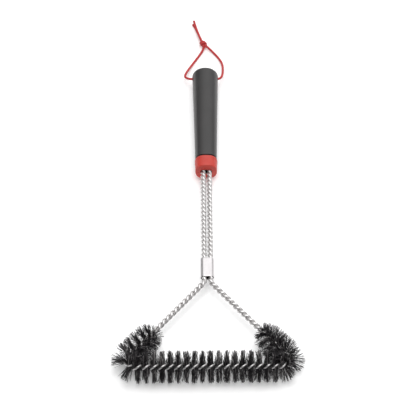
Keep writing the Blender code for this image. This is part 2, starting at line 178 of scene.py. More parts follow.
def smooth_route(points, spacing):
    """Evenly spaced points on a Catmull-Rom curve through the route's own points."""
    route = np.asarray(points, float)
    padded = np.vstack([2 * route[0] - route[1], route, 2 * route[-1] - route[-2]])
    t = (np.arange(ROUTE_STEPS) / ROUTE_STEPS)[:, None]
    spans = []
    for a, b, c, d in zip(padded, padded[1:], padded[2:], padded[3:]):
        linear = (c - a) * t
        square = (2 * a - 5 * b + 4 * c - d) * t**2
        cube = (3 * b - a - 3 * c + d) * t**3
        spans.append(0.5 * (2 * b + linear + square + cube))
    fine = np.vstack([*spans, route[-1:]])
    along = travelled(fine)
    count = max(int(round(along[-1] / spacing)), 2)
    at = np.linspace(0.0, along[-1], count + 1)
    return np.stack([np.interp(at, along, fine[:, k]) for k in range(3)], -1)


def tube(name, path, radius, sides, relief):
    """A closed round bar along a path. relief gives a share of the radius by distance and angle."""
    tangent, side, face = path_frames(path)
    angle = math.tau * np.arange(sides) / sides
    along = travelled(path)
    size = radius * relief(along[:, None], angle[None, :])
    outward = side[:, None, :] * np.cos(angle)[None, :, None]
    outward = outward + face[:, None, :] * np.sin(angle)[None, :, None]
    rings = path[:, None, :] + outward * size[..., None]
    points = rings.reshape(-1, 3)
    uv = np.stack(np.broadcast_arrays(along[:, None] / MM, angle[None, :] / math.tau), -1)
    uv = uv.reshape(-1, 2)
    bulge = radius * TUBE_END_BULGE
    ends = np.array([path[0] - tangent[0] * bulge, path[-1] + tangent[-1] * bulge])
    points = np.vstack([points, ends])
    uv = np.vstack([uv, [[0.0, 0.5], [along[-1] / MM, 0.5]]])
    quads = ring_quads(len(path), sides)[:, ::-1]
    first = np.arange(sides)
    last = first + (len(path) - 1) * sides
    triangles = np.vstack([fan(len(points) - 2, first), fan(len(points) - 1, last, True)])
    return mesh_object(name, points, quads, triangles, uv)


# --------------------------------------------------------------- materials


class Shader:
    """A node material with a few short ways to add and join nodes."""

    def __init__(self, name):
        self.material = bpy.data.materials.new(name)
        self.material.use_nodes = True
        self.tree = self.material.node_tree
        self.tree.nodes.clear()
        self.output = self.tree.nodes.new("ShaderNodeOutputMaterial")
        self.surface = self.tree.nodes.new("ShaderNodeBsdfPrincipled")
        self.join(self.surface, "BSDF", self.output, "Surface")

    def add(self, kind, **values):
        node = self.tree.nodes.new(kind)
        for key, value in values.items():
            if hasattr(node, key):
                setattr(node, key, value)
            else:
                node.inputs[key.replace("_", " ")].default_value = value
        return node

    def join(self, source, out, target, into):
        self.tree.links.new(source.outputs[out], target.inputs[into])

    def set(self, **values):
        for key, value in values.items():
            self.surface.inputs[key.replace("_", " ")].default_value = value

    def noise(self, scale, detail=3.0, roughness=0.5, vector=None):
        node = self.add("ShaderNodeTexNoise", Scale=scale, Detail=detail, Roughness=roughness)
        if vector is None:
            vector = self.add("ShaderNodeTexCoord"), "Object"
        self.join(*vector, node, "Vector")
        return node

    def scaled(self, vector, scale):
        node = self.add("ShaderNodeMapping")
        node.inputs["Scale"].default_value = scale
        self.join(*vector, node, "Vector")
        return node, "Vector"

    def ramp(self, source, out, stops):
        node = self.add("ShaderNodeValToRGB")
        elements = node.color_ramp.elements
        while len(elements) < len(stops):
            elements.new(0.5)
        for element, (position, colour) in zip(elements, stops):
            element.position = position
            element.color = (*colour, 1.0)
        self.join(source, out, node, "Fac")
        return node

    def map_range(self, source, out, low, high, from_low=0.0, from_high=1.0):
        node = self.add("ShaderNodeMapRange")
        node.inputs["From Min"].default_value = from_low
        node.inputs["From Max"].default_value = from_high
        node.inputs["To Min"].default_value = low
        node.inputs["To Max"].default_value = high
        self.join(source, out, node, "Value")
        return node

    def bump(self, source, out, strength, distance):
        node = self.add("ShaderNodeBump", Strength=strength, Distance=distance)
        self.join(source, out, node, "Height")
        self.join(node, "Normal", self.surface, "Normal")


def wire_steel():
    """Drawn, galvanised wire: fine lines along its length and faint dull patches."""
    s = Shader("steel_wire")
    s.set(Metallic=1.0)
    uv = s.add("ShaderNodeUVMap", uv_map="UVMap"), "UV"
    lines = s.noise(1.0, 4.0, 0.6, s.scaled(uv, (0.12, 26.0, 1.0)))
    patches = s.noise(420.0, 4.0, 0.55)
    stops = [
        (0.30, (0.63, 0.615, 0.615)),
        (0.52, (0.72, 0.707, 0.702)),
        (0.75, (0.80, 0.79, 0.785)),
    ]
    colour = s.ramp(patches, "Fac", stops)
    s.join(colour, "Color", s.surface, "Base Color")
    rough = s.map_range(lines, "Fac", 0.36, 0.52, 0.25, 0.75)
    s.join(rough, "Result", s.surface, "Roughness")
    s.bump(lines, "Fac", 0.25, 0.05 * MM)
    return s.material


def ferrule_steel():
    """Polished sheet steel with a faint brushing round it."""
    s = Shader("polished_steel")
    s.set(Metallic=1.0)
    coordinate = s.add("ShaderNodeTexCoord"), "Object"
    brushing = s.noise(1.0, 5.0, 0.6, s.scaled(coordinate, (60.0, 9000.0, 60.0)))
    smears = s.noise(160.0, 2.0, 0.5)
    colour = s.ramp(smears, "Fac", [(0.3, (0.60, 0.582, 0.588)), (0.7, (0.66, 0.640, 0.647))])
    s.join(colour, "Color", s.surface, "Base Color")
    rough = s.map_range(brushing, "Fac", 0.20, 0.34, 0.3, 0.7)
    s.join(rough, "Result", s.surface, "Roughness")
    s.bump(brushing, "Fac", 0.08, 0.02 * MM)
    return s.material


def bristle_black():
    """Stiff black filaments: each its own depth of black, the palest few a painted glint, with a
    soft shine.
    """
    s = Shader("black_bristle")
    island = s.add("ShaderNodeNewGeometry")
    stops = [
        (0.0, (0.004, 0.003, 0.004)),
        (0.68, (0.013, 0.011, 0.013)),
        # The palest end of this ramp is a painted glint: a few filaments turned pale grey to stand
        # in for steel catching the light.
        (0.86, (0.060, 0.054, 0.057)),
        (1.0, (0.45, 0.43, 0.43)),
    ]
    colour = s.ramp(island, "Random Per Island", stops)
    s.join(colour, "Color", s.surface, "Base Color")
    rough = s.map_range(island, "Random Per Island", 0.30, 0.46)
    s.join(rough, "Result", s.surface, "Roughness")
    s.set(Specular_IOR_Level=0.4)
    return s.material


def moulded(name, low, high, rough_low, rough_high, specular):
    """Satin moulded plastic: fine spark-eroded grain over a slow mottle."""
    s = Shader(name)
    slow = s.noise(55.0, 3.0, 0.5)
    grain = s.noise(2600.0, 3.0, 0.65)
    colour = s.ramp(slow, "Fac", [(0.32, low), (0.68, high)])
    s.join(colour, "Color", s.surface, "Base Color")
    rough = s.map_range(grain, "Fac", rough_low, rough_high, 0.3, 0.7)
    s.join(rough, "Result", s.surface, "Roughness")
    s.set(Specular_IOR_Level=specular)
    s.bump(grain, "Fac", 0.06, 0.05 * MM)
    return s.material


def cord_red():
    """Braided synthetic cord: red yarns with paler and darker ones among them."""
    s = Shader("red_cord")
    uv = s.add("ShaderNodeUVMap", uv_map="UVMap"), "UV"
    yarn = s.noise(1.0, 3.0, 0.6, s.scaled(uv, (2.2, 9.0, 1.0)))
    fuzz = s.noise(5200.0, 2.0, 0.6)
    stops = [
        (0.28, (0.36, 0.014, 0.018)),
        (0.50, (0.50, 0.030, 0.032)),
        (0.74, (0.60, 0.070, 0.062)),
    ]
    colour = s.ramp(yarn, "Fac", stops)
    s.join(colour, "Color", s.surface, "Base Color")
    s.set(Roughness=0.62, Specular_IOR_Level=0.35)
    s.set(Sheen_Weight=0.12, Sheen_Roughness=0.5)
    s.bump(fuzz, "Fac", 0.25, 0.06 * MM)
    return s.material


STEEL_WIRE = wire_steel()
POLISHED_STEEL = ferrule_steel()
BLACK_BRISTLE = bristle_black()
BLACK_PLASTIC = moulded(
    "black_plastic", (0.020, 0.019, 0.019), (0.026, 0.024, 0.024), 0.33, 0.45, 0.6
)
RED_PLASTIC = moulded(
    "red_plastic", (0.51, 0.036, 0.024), (0.57, 0.048, 0.031), 0.40, 0.54, 0.5
)
RED_CORD = cord_red()


def finish_piece(made, material, body, slot, *replaced):
    made.data.materials.append(material)
    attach(made, body)
    if replaced:
        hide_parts(*replaced)
    return made


# ------------------------------------------------------------ hanging cord

CORD_RADIUS = 1.55 * MM
CORD_PITCH = 5.2 * MM
CORD_YARNS = 8
CORD_RELIEF = 0.045  # how deep the valleys between yarns are, as a share of the radius
CORD_SIDES = 20
CORD_STEP = 0.4 * MM

LEFT_CORD = [
    (-0.15, 0.0, 0.0),
    (-8.0, 0.0, 0.0),
    (-15.0, 0.0, -0.1),
    (-19.0, 0.4, -0.4),
    (-22.7, 1.9, -1.1),
    (-25.6, 5.2, -2.3),
    (-26.5, 9.6, -3.9),
    (-25.7, 14.6, -5.7),
    (-24.0, 21.4, -8.2),
    (-21.0, 30.4, -11.2),
    (-17.0, 40.0, -13.5),
    (-12.2, 50.0, -14.7),
    (-7.3, 59.0, -14.8),
    (-3.3, 66.6, -13.7),
    (-1.3, 72.0, -12.3),
]
RIGHT_CORD = [
    (0.15, 0.0, 0.0),
    (8.0, 0.0, 0.0),
    (15.0, 0.0, -0.1),
    (18.6, 0.9, -0.5),
    (21.1, 4.0, -1.4),
    (22.5, 9.2, -2.9),
    (23.4, 16.6, -5.1),
    (23.8, 25.6, -8.0),
    (23.5, 35.6, -11.1),
    (21.7, 45.6, -13.6),
    (17.8, 54.6, -14.7),
    (12.4, 62.8, -14.6),
    (6.9, 69.4, -13.4),
    (2.5, 73.7, -12.1),
]
LONG_TAIL = [
    (-4.8, 83.2, -10.0),
    (-6.0, 88.0, -10.4),
    (-7.2, 92.0, -10.8),
    (-10.0, 102.0, -11.2),
    (-12.4, 112.0, -11.4),
    (-13.8, 119.0, -11.7),
    (-14.7, 124.4, -12.7),
]
SHORT_TAIL = [
    (-3.9, 83.6, -13.5),
    (-5.1, 88.0, -13.9),
    (-6.2, 92.0, -14.3),
    (-9.1, 102.0, -14.7),
    (-12.6, 112.0, -14.85),
    (-15.9, 119.9, -14.85),
]
KNOT_CENTRE = np.array((-2.1, 77.8, -11.2))
KNOT_AXIS = (-0.66, 0.75, 0.08)
KNOT_STRAND_RADIUS = 1.75 * MM
LOW_LEG = ((-1.5, -0.6), (2.5, -0.8))  # how far along the knot's axis and over it a leg passes
HIGH_LEG = ((-2.5, 0.6), (1.5, 0.6))
WRAP_TURNS = 1.25
WRAP_POINTS = 120
WRAP_START = 2.4  # radians round the knot's axis
WRAP_LAG = 0.5  # radians between the two strands of the wrap
WRAP_ADVANCE = 6.0
WRAP_HALF_WIDTH = 2.5
WRAP_HALF_HEIGHT = 2.9
WRAP_CLOSING = 0.015  # how fast the wrap narrows away from its middle
WRAP_SHIFT = np.array((0.7, -1.0, 0.0))
HOLE_MIDDLE = np.array((0.0, HOLE_Y, AXIS_Z))


def braid(along, angle):
    """Two sets of yarns winding opposite ways, as a share of the cord's radius."""
    turn = math.tau * along / CORD_PITCH
    right = np.cos((angle * CORD_YARNS / 2) + turn * 2)
    left = np.cos((angle * CORD_YARNS / 2) - turn * 2)
    return 1.0 - CORD_RELIEF + CORD_RELIEF * np.maximum(right, left)


def cord_piece(name, route):
    path = smooth_route(np.asarray(route) * MM + HOLE_MIDDLE, CORD_STEP)
    made = tube(name, path, CORD_RADIUS, CORD_SIDES, braid)
    finish_piece(made, RED_CORD, "hang_loop", "red_cord")
    return made, path


def joined(name, objects):
    """One object from several that are then removed."""
    bm = bmesh.new()
    for part in objects:
        bm.from_mesh(part.data)
    mesh = bpy.data.meshes.new(name)
    bm.to_mesh(mesh)
    bm.free()
    for part in objects:
        bpy.data.objects.remove(part)
    mesh.shade_smooth()
    made = bpy.data.objects.new(name, mesh)
    bpy.context.scene.collection.objects.link(made)
    return made


def knot_piece():
    """The overhand knot: both legs run through to the tails, under a wrap of the doubled cord."""
    run = np.array(KNOT_AXIS) / np.linalg.norm(KNOT_AXIS)
    side = np.cross(run, (0.0, 0.0, 1.0))
    side /= np.linalg.norm(side)
    over = np.cross(side, run)
    left, right = np.array(LEFT_CORD[-1]), np.array(RIGHT_CORD[-1])
    long_tail, short_tail = np.array(LONG_TAIL[0]), np.array(SHORT_TAIL[0])
    low, high = (
        [KNOT_CENTRE + run * along + over * up for along, up in leg] for leg in (LOW_LEG, HIGH_LEG)
    )
    lines = [[left, *low, short_tail], [right, *high, long_tail]]
    turned = np.linspace(0.0, WRAP_TURNS * math.tau, WRAP_POINTS)
    for k in (-0.5, 0.5):
        along = (turned / math.tau - WRAP_TURNS / 2) * WRAP_ADVANCE + k * WRAP_ADVANCE / 2
        close = 1.0 - WRAP_CLOSING * along**2
        angle = turned + WRAP_START + WRAP_LAG * k
        lines.append(
            KNOT_CENTRE
            + WRAP_SHIFT
            + run * along[:, None]
            + side * (WRAP_HALF_WIDTH * close * np.cos(angle))[:, None]
            + over * (WRAP_HALF_HEIGHT * close * np.sin(angle))[:, None]
        )
    objects = []
    for k, line in enumerate(lines):
        path = smooth_route(np.array(line) * MM + HOLE_MIDDLE, CORD_STEP)
        objects.append(tube(f"knot_strand_{k}", path, KNOT_STRAND_RADIUS, CORD_SIDES, braid))
    made = joined("hang_knot", objects)
    return finish_piece(made, RED_CORD, "hang_loop", "red_cord", "hang_cord_knot")


def make_cords():
    knot = knot_piece()
    for side, route in (("left", LEFT_CORD), ("right", RIGHT_CORD)):
        made, path = cord_piece(f"cord_{side}", route)
        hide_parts(f"hang_cord_{side}")
    for name, route in (("long_tail", LONG_TAIL), ("short_tail", SHORT_TAIL)):
        made, path = cord_piece(f"cord_{name}", route)
        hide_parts(f"hang_cord_{name}")


make_cords()

# -------------------------------------------------------------- the strand

LEG_X = 3.75 * MM
LEG_TOP_Y = HEAD_Y + 318.0 * MM
SHOULDER_Y = HEAD_Y + 109.3 * MM
CORNER_X = 97.2 * MM
BEND_RADIUS = 8.0 * MM
BRISTLE_START_Y = HEAD_Y + 43.5 * MM
LEFT_LEG_PITCH = 12.33 * MM
LEFT_ARM_PITCH = 13.65 * MM
BRISTLED_PITCH = 17.5 * MM
RIGHT_ARM_PITCH = 13.62 * MM
RIGHT_LEG_PITCH = 12.96 * MM
LOOSE_TWIST_INSIDE = 8.8 * MM
LOOSE_TWIST_OUTSIDE = 2.6 * MM
TWIST_START = math.radians(84.0)
WIRE_RADIUS = 1.72 * MM
BRISTLED_WIRE_RADIUS = 1.27 * MM
LEG_LAY = 1.58 * MM
ARM_LAY = 1.92 * MM
BRISTLED_LAY = 1.75 * MM
LAY_CHANGE = 9.0 * MM
WIRE_STEP = 0.6 * MM
WIRE_SIDES = 16
SHOULDER, LEFT_ARM, LEFT_BEND, FRONT, RIGHT_BEND, RIGHT_ARM = range(1, 7)  # rows of Strand.runs


class Strand:
    """The twisted pair's centreline and twist, by the distance from the left leg's top.

    runs holds a row for each straight and each bend, in order: the distance where it begins,
    x, y, heading and curvature.
    """

    def __init__(self):
        corners = np.array(
            [
                (-LEG_X, LEG_TOP_Y),
                (-LEG_X, SHOULDER_Y),
                (-CORNER_X, HEAD_Y),
                (CORNER_X, HEAD_Y),
                (LEG_X, SHOULDER_Y),
                (LEG_X, LEG_TOP_Y),
            ]
        )
        legs = np.diff(corners, axis=0)
        heading = np.arctan2(legs[:, 1], legs[:, 0])
        at, distance = corners[0], 0.0
        rows = []
        for k in range(1, len(corners) - 1):
            turn = (heading[k] - heading[k - 1] + math.pi) % math.tau - math.pi
            trim = BEND_RADIUS * math.tan(abs(turn) / 2)
            into = legs[k - 1] / np.linalg.norm(legs[k - 1])
            out = legs[k] / np.linalg.norm(legs[k])
            rows.append((distance, *at, heading[k - 1], 0.0))
            bend = corners[k] - into * trim
            distance += np.linalg.norm(bend - at)
            rows.append((distance, *bend, heading[k - 1], math.copysign(1 / BEND_RADIUS, turn)))
            distance += BEND_RADIUS * abs(turn)
            at = corners[k] + out * trim
        rows.append((distance, *at, heading[-1], 0.0))
        self.length = distance + np.linalg.norm(corners[-1] - at)
        self.runs = np.array(rows)
        arm_angle = math.atan2(SHOULDER_Y - HEAD_Y, CORNER_X - LEG_X)
        below = (SHOULDER_Y - BRISTLE_START_Y) / math.sin(arm_angle)
        trim = BEND_RADIUS * math.tan((math.pi / 2 - arm_angle) / 2)
        self.shoulder = self.runs[SHOULDER, 0]
        self.bristles_start = self.runs[LEFT_ARM, 0] + below - trim
        self.bristles_end = self.length - self.bristles_start
        marks = [
            0.0,
            self.shoulder,
            self.bristles_start + LOOSE_TWIST_INSIDE,
            self.bristles_end + LOOSE_TWIST_OUTSIDE,
            self.length - (LEG_TOP_Y - ferrule_high.y),
            self.length,
        ]
        pitches = [LEFT_LEG_PITCH, LEFT_ARM_PITCH, BRISTLED_PITCH]
        pitches += [RIGHT_ARM_PITCH, RIGHT_LEG_PITCH]
        self.marks = np.array(marks)
        self.turns = np.concatenate([[0.0], np.cumsum(np.diff(marks) / pitches)])

    def place(self, s):
        """(points, tangents, across, twist angles) at these distances."""
        s = np.asarray(s, float)
        k = np.searchsorted(self.runs[:, 0], s, side="right") - 1
        k = np.clip(k, 0, len(self.runs) - 1)
        begin, x, y, heading0, curvature = self.runs[k].T
        gone = s - begin
        heading = heading0 + curvature * gone
        bent = np.abs(curvature) > 0
        per = np.where(bent, curvature, 1.0)
        round_x = (np.sin(heading) - np.sin(heading0)) / per
        round_y = (np.cos(heading) - np.cos(heading0)) / per
        x = x + np.where(bent, round_x, np.cos(heading0) * gone)
        y = y - np.where(bent, round_y, -np.sin(heading0) * gone)
        point = np.stack([x, y, np.full_like(x, AXIS_Z)], -1)
        flat = np.zeros_like(x)
        tangent = np.stack([np.cos(heading), np.sin(heading), flat], -1)
        across = np.stack([-np.sin(heading), np.cos(heading), flat], -1)
        twist = TWIST_START - math.tau * np.interp(s, self.marks, self.turns)
        return point, tangent, across, twist

    def lay(self, s):
        """Each wire's distance from the centreline. Both halves of the strand are alike."""
        from_top = np.minimum(s, self.length - s)
        marks = [self.shoulder, self.shoulder + LAY_CHANGE]
        marks += [self.bristles_start - LAY_CHANGE, self.bristles_start]
        return np.interp(from_top, marks, [LEG_LAY, ARM_LAY, ARM_LAY, BRISTLED_LAY])

    def thickness(self, s):
        """Each wire's radius, less where the bristles are pressed over its flanks."""
        from_top = np.minimum(s, self.length - s)
        marks = [self.bristles_start - LAY_CHANGE, self.bristles_start + LAY_CHANGE]
        return np.interp(from_top, marks, [WIRE_RADIUS, BRISTLED_WIRE_RADIUS])


UP = np.array((0.0, 0.0, 1.0))
strand = Strand()


def make_wire(name, phase, replaced):
    """One wire of the pair, as one bar from the handle round the head and back."""
    count = int(strand.length / WIRE_STEP)
    s = np.linspace(0.0, strand.length, count)
    point, _, across, twist = strand.place(s)
    turned = (twist + phase)[:, None]
    out = across * np.cos(turned) + UP * np.sin(turned)
    path = point + out * strand.lay(s)[:, None]
    tangent = np.gradient(path, axis=0)
    tangent /= np.linalg.norm(tangent, axis=1, keepdims=True)
    side = np.cross(tangent, out)
    side /= np.linalg.norm(side, axis=1, keepdims=True)
    face = np.cross(side, tangent)
    angle = math.tau * np.arange(WIRE_SIDES) / WIRE_SIDES
    outward = face[:, None, :] * np.cos(angle)[None, :, None]
    outward = outward + side[:, None, :] * np.sin(angle)[None, :, None]
    rings = path[:, None, :] + outward * strand.thickness(s)[:, None, None]
    along = travelled(path)
    uv = np.stack(np.broadcast_arrays(along[:, None] / MM, angle[None, :] / math.tau), -1)
    uv = np.vstack([uv.reshape(-1, 2), [[0.0, 0.5], [along[-1] / MM, 0.5]]])
    points = np.vstack([rings.reshape(-1, 3), path[:1], path[-1:]])
    quads = ring_quads(count, WIRE_SIDES)
    first = np.arange(WIRE_SIDES)
    last = first + (count - 1) * WIRE_SIDES
    triangles = np.vstack([fan(len(points) - 2, first, True), fan(len(points) - 1, last)])
    made = mesh_object(name, points, quads, triangles, uv)
    return finish_piece(made, STEEL_WIRE, "brush", "steel_wire", *replaced)


STRETCHES = ["left_leg", "left_arm", "left_corner", "front"]
STRETCHES += ["right_corner", "right_arm", "right_leg"]
make_wire("wire_a", 0.0, [f"wire_a_{stretch}" for stretch in STRETCHES])
make_wire("wire_b", math.pi, [f"wire_b_{stretch}" for stretch in STRETCHES])

# ---------------------------------------------------------------- bristles

BRISTLE_RADIUS = 17.4 * MM
FILAMENT_RADIUS = 0.22 * MM
FILAMENT_SIDES = 3
FILAMENT_SHARP = 130.0
FILAMENT_SPREAD = (0.85, 1.15)  # thinnest and thickest, as a share of that radius
FILAMENTS_PER_MM = 11.5
FILAMENTS_BY_TANGLE = (0.96, 0.05)  # share of them with no tangle, and what each unit adds
CLUMPS_PER_MM = 1.5
BRISTLE_RINGS = np.array([0.02, 0.14, 0.38, 0.70, 1.0])
ROOT_LENGTH = 2.0 * MM
FAN_FROM = 5.0 * MM

# How far filaments vary: first what a clump shares, then each one's own. Swing turns them round
# the strand. Lean along it and droop across the row are shares of the reach.
SWING = (math.radians(6.0), math.radians(8.0))
LEAN = (0.045, 0.065)
DROOP = (0.035, 0.045)
MOST_LEAN = 0.40
MOST_DROOP = 0.18
TRIM = (-0.2, 0.5)  # mean and spread of what the reach gains, in mm, and the limits it keeps to
TRIM_LIMITS = (-1.8, 0.5)
STRAY_SHARE = 0.05
STRAY_LEAN = 3.0
STRAY_SWING = 2.0

# The row's two ends, the pack of filaments, and where they meet the table.
END_SPLAY_LENGTH = 9.0 * MM
END_SPLAY = 0.28
END_SWING = math.radians(14.0)
END_TAPER_LENGTH = 14.0 * MM
LEFT_END_REACH = 0.70
RIGHT_END_REACH = 0.55
PACK_THICKNESS = 0.7 * MM  # half of it, where the wires hold the filaments
PACK_BULGE = 2.6
PACK_BULGE_AT = 3.0 * MM
MATTED_LEAN = 0.30  # of the upright filaments of the right arm, away from the head
LEFT_MATTED_SHARE = -0.5
TABLE_CLEARANCE = 0.2 * MM
TABLE_SPREAD = 0.5 * MM
TABLE_SLIDE = 1.4  # how far a tip slides outwards for each unit that the table lifts it
FRONT_TANGLE = 0.8
LEFT_TANGLE = 1.4
CORNER_TANGLE = 1.8
RIGHT_TANGLE = 1.8


def make_bristles(name, begin, end, replaced, tangle, rng):
    """The filaments between two distances along the strand, which pass between the wires."""
    length = end - begin
    plain, added = FILAMENTS_BY_TANGLE
    count = int(length / MM * FILAMENTS_PER_MM * (plain + added * tangle))
    s = begin + length * (np.arange(count) + rng.uniform(0.0, 1.0, count)) / count
    s = np.concatenate([s, s])
    count = len(s)
    half = np.repeat([0.0, math.pi], count // 2)
    clump = np.floor((s - begin) / MM * CLUMPS_PER_MM).astype(int) * 2 + (half > 1)
    clumps = clump.max() + 1

    def varied(clump_size, own_size):
        shared = rng.normal(0.0, clump_size * tangle, clumps)[clump]
        return shared + rng.normal(0.0, own_size * tangle, count)

    point, tangent, across, twist = strand.place(s)
    row = twist + math.pi / 2 + half
    swing = varied(*SWING)
    lean = varied(*LEAN)
    droop = np.clip(varied(*DROOP), -MOST_DROOP, MOST_DROOP)
    reach = BRISTLE_RADIUS + np.clip(rng.normal(*TRIM, count), *TRIM_LIMITS) * MM
    from_end = np.minimum(s - strand.bristles_start, strand.bristles_end - s)
    on_left = s < strand.length / 2
    outwards = np.where(on_left, -1.0, 1.0)
    shortest = np.where(on_left, LEFT_END_REACH, RIGHT_END_REACH)
    taper = np.clip(from_end / END_TAPER_LENGTH, 0.0, 1.0)
    reach = reach * (shortest + (1.0 - shortest) * taper)
    splay = np.clip(1.0 - from_end / END_SPLAY_LENGTH, 0.0, 1.0)
    lean = lean + outwards * splay * rng.uniform(0.0, END_SPLAY, count)
    swing = swing + splay * rng.normal(0.0, END_SWING, count)
    stray = rng.uniform(0.0, 1.0, count) < STRAY_SHARE
    lean = np.clip(np.where(stray, lean * STRAY_LEAN, lean), -MOST_LEAN, MOST_LEAN)
    swing = np.where(stray, swing * STRAY_SWING, swing)
    layer = rng.uniform(-1.0, 1.0, count) * PACK_THICKNESS

    share = BRISTLE_RINGS[None, :]
    distance = share * reach[:, None]
    ease = np.clip((distance - ROOT_LENGTH) / (reach[:, None] - ROOT_LENGTH), 0.0, 1.0)
    angle = row[:, None] + swing[:, None] * np.clip(distance / FAN_FROM, 0.0, 1.0)
    radial = across[:, None, :] * np.cos(angle)[..., None] + UP * np.sin(angle)[..., None]
    thick = UP * np.cos(row)[:, None] - across * np.sin(row)[:, None]
    layer = layer[:, None] * (1.0 + PACK_BULGE * np.clip(distance / PACK_BULGE_AT, 0.0, 1.0))
    upright = np.clip(np.sin(row + swing), 0.0, 1.0)
    right_matted = (s > strand.runs[RIGHT_ARM, 0]) * MATTED_LEAN
    left_matted = (s < strand.runs[FRONT, 0]) * LEFT_MATTED_SHARE * MATTED_LEAN
    lean = lean + (right_matted + left_matted) * upright
    path = point[:, None, :] + radial * distance[..., None]
    fall = layer + droop[:, None] * reach[:, None] * ease**2
    path = path + thick[:, None, :] * fall[..., None]
    path = path + tangent[:, None, :] * (lean[:, None] * reach[:, None] * ease)[..., None]
    floor = TABLE_CLEARANCE + rng.uniform(0.0, TABLE_SPREAD, count)[:, None]
    under = np.clip(floor - path[..., 2], 0.0, None)
    away = np.sign(np.cos(angle) + 1e-9)
    path[..., 2] += under
    path = path + across[:, None, :] * (away * under * TABLE_SLIDE)[..., None]

    along = np.gradient(path, axis=1)
    along /= np.linalg.norm(along, axis=2, keepdims=True)
    side = np.cross(along, tangent[:, None, :])
    side /= np.linalg.norm(side, axis=2, keepdims=True)
    face = np.cross(side, along)
    first = np.arange(FILAMENT_SIDES)
    corner = math.tau * (first[None, :] / FILAMENT_SIDES + rng.uniform(0.0, 1.0, count)[:, None])
    size = FILAMENT_RADIUS * rng.uniform(*FILAMENT_SPREAD, count)
    outward = (
        side[:, :, None, :] * np.cos(corner)[:, None, :, None]
        + face[:, :, None, :] * np.sin(corner)[:, None, :, None]
    )
    rings = path[:, :, None, :] + outward * size[:, None, None, None]
    levels = len(BRISTLE_RINGS)
    starts = np.arange(count)[:, None, None] * levels * FILAMENT_SIDES
    quads = (ring_quads(levels, FILAMENT_SIDES)[None] + starts).reshape(-1, 4)
    caps = np.array([(0, 2, 1), first + (levels - 1) * FILAMENT_SIDES])
    caps = (caps[None] + starts).reshape(-1, 3)
    points = rings.reshape(-1, 3)
    made = mesh_object(name, points, quads[:, ::-1], caps[:, ::-1], sharp=FILAMENT_SHARP)
    return finish_piece(made, BLACK_BRISTLE, "brush", "black_bristle", *replaced)


def bristle_rows():
    rng = np.random.default_rng(SEED)
    bend, front, far_bend, far_arm = strand.runs[[LEFT_BEND, FRONT, RIGHT_BEND, RIGHT_ARM], 0]
    arm = [f"bristles_left_arm_{i}" for i in (1, 2)]
    make_bristles("filaments_left_arm", strand.bristles_start, bend, arm, LEFT_TANGLE, rng)
    corner = ["bristles_left_corner"]
    make_bristles("filaments_left_corner", bend, front, corner, CORNER_TANGLE, rng)
    ends = np.linspace(front, far_bend, 4)
    for i in range(3):
        nodes = [f"bristles_front_{k}" for k in range(3 * i + 1, 3 * i + 4)]
        name = f"filaments_front_{'abc'[i]}"
        make_bristles(name, ends[i], ends[i + 1], nodes, FRONT_TANGLE, rng)
    corner = ["bristles_right_corner"]
    make_bristles("filaments_right_corner", far_bend, far_arm, corner, CORNER_TANGLE, rng)
    arm = [f"bristles_right_arm_{i}" for i in (1, 2)]
    make_bristles("filaments_right_arm", far_arm, strand.bristles_end, arm, RIGHT_TANGLE, rng)


bristle_rows()

# ----------------------------------------------------------------- ferrule

OUTLINE_POINTS = 128
FERRULE_WALL = 0.45 * MM
FERRULE_EDGE = 0.22 * MM
FERRULE_INNER_EDGE = 0.12 * MM
FERRULE_RINGS = 14
EDGE_STEPS = 5


def superellipse(half_width, half_height, power):
    """A closed outline in x and z from +X: power 2 is an ellipse, and more is squarer."""
    angle = math.tau * np.arange(OUTLINE_POINTS) / OUTLINE_POINTS
    c, s = np.cos(angle), np.sin(angle)
    x = np.sign(c) * np.abs(c) ** (2 / power) * half_width
    z = np.sign(s) * np.abs(s) ** (2 / power) * half_height
    return np.stack([x, z], -1)


def stadium(half_width, half_height):
    """A closed outline in x and z from +X: two half circles and two flats."""
    flat = half_width - half_height
    ends = math.pi * half_height
    around = np.array([ends / 2, 2 * flat, ends, 2 * flat, ends / 2]).cumsum()
    outline = []
    for share in np.arange(OUTLINE_POINTS) / OUTLINE_POINTS:
        gone = share * around[-1]
        if gone < around[0]:
            turn = gone / half_height
            at = (flat + half_height * math.cos(turn), half_height * math.sin(turn))
        elif gone < around[1]:
            at = (flat - (gone - around[0]), half_height)
        elif gone < around[2]:
            turn = math.pi / 2 + (gone - around[1]) / half_height
            at = (-flat + half_height * math.cos(turn), half_height * math.sin(turn))
        elif gone < around[3]:
            at = (-flat + (gone - around[2]), -half_height)
        else:
            turn = -math.pi / 2 + (gone - around[3]) / half_height
            at = (flat + half_height * math.cos(turn), half_height * math.sin(turn))
        outline.append(at)
    return np.array(outline)


def ring_solid(name, sections, sharp=35.0, closed_round=True):
    """A solid through sections, each (y, outline): a ring that meets its start, or capped."""
    sides = OUTLINE_POINTS
    points = [np.stack([o[:, 0], np.full(sides, y), o[:, 1] + AXIS_Z], -1) for y, o in sections]
    quads = ring_quads(len(sections), sides)
    first = np.arange(sides)
    last = first + (len(sections) - 1) * sides
    if closed_round:
        after = np.roll(first, -1)
        quads = np.vstack([quads, np.stack([last, np.roll(last, -1), after, first], -1)])
        return mesh_object(name, np.vstack(points), quads[:, ::-1], sharp=sharp)
    middles = [points[0].mean(0), points[-1].mean(0)]
    count = len(sections) * sides
    caps = np.vstack([fan(count, first), fan(count + 1, last, True)])
    return mesh_object(name, np.vstack([*points, middles]), quads[:, ::-1], caps, sharp=sharp)


def rounded(radius, steps, opening):
    """(along, inset) pairs round a quarter circle: from the end face outwards, or back to it."""
    turns = np.linspace(0.0, math.pi / 2, steps + 1)
    pairs = [(radius * (1 - math.sin(turn)), radius * (1 - math.cos(turn))) for turn in turns]
    return pairs[::-1] if opening else pairs


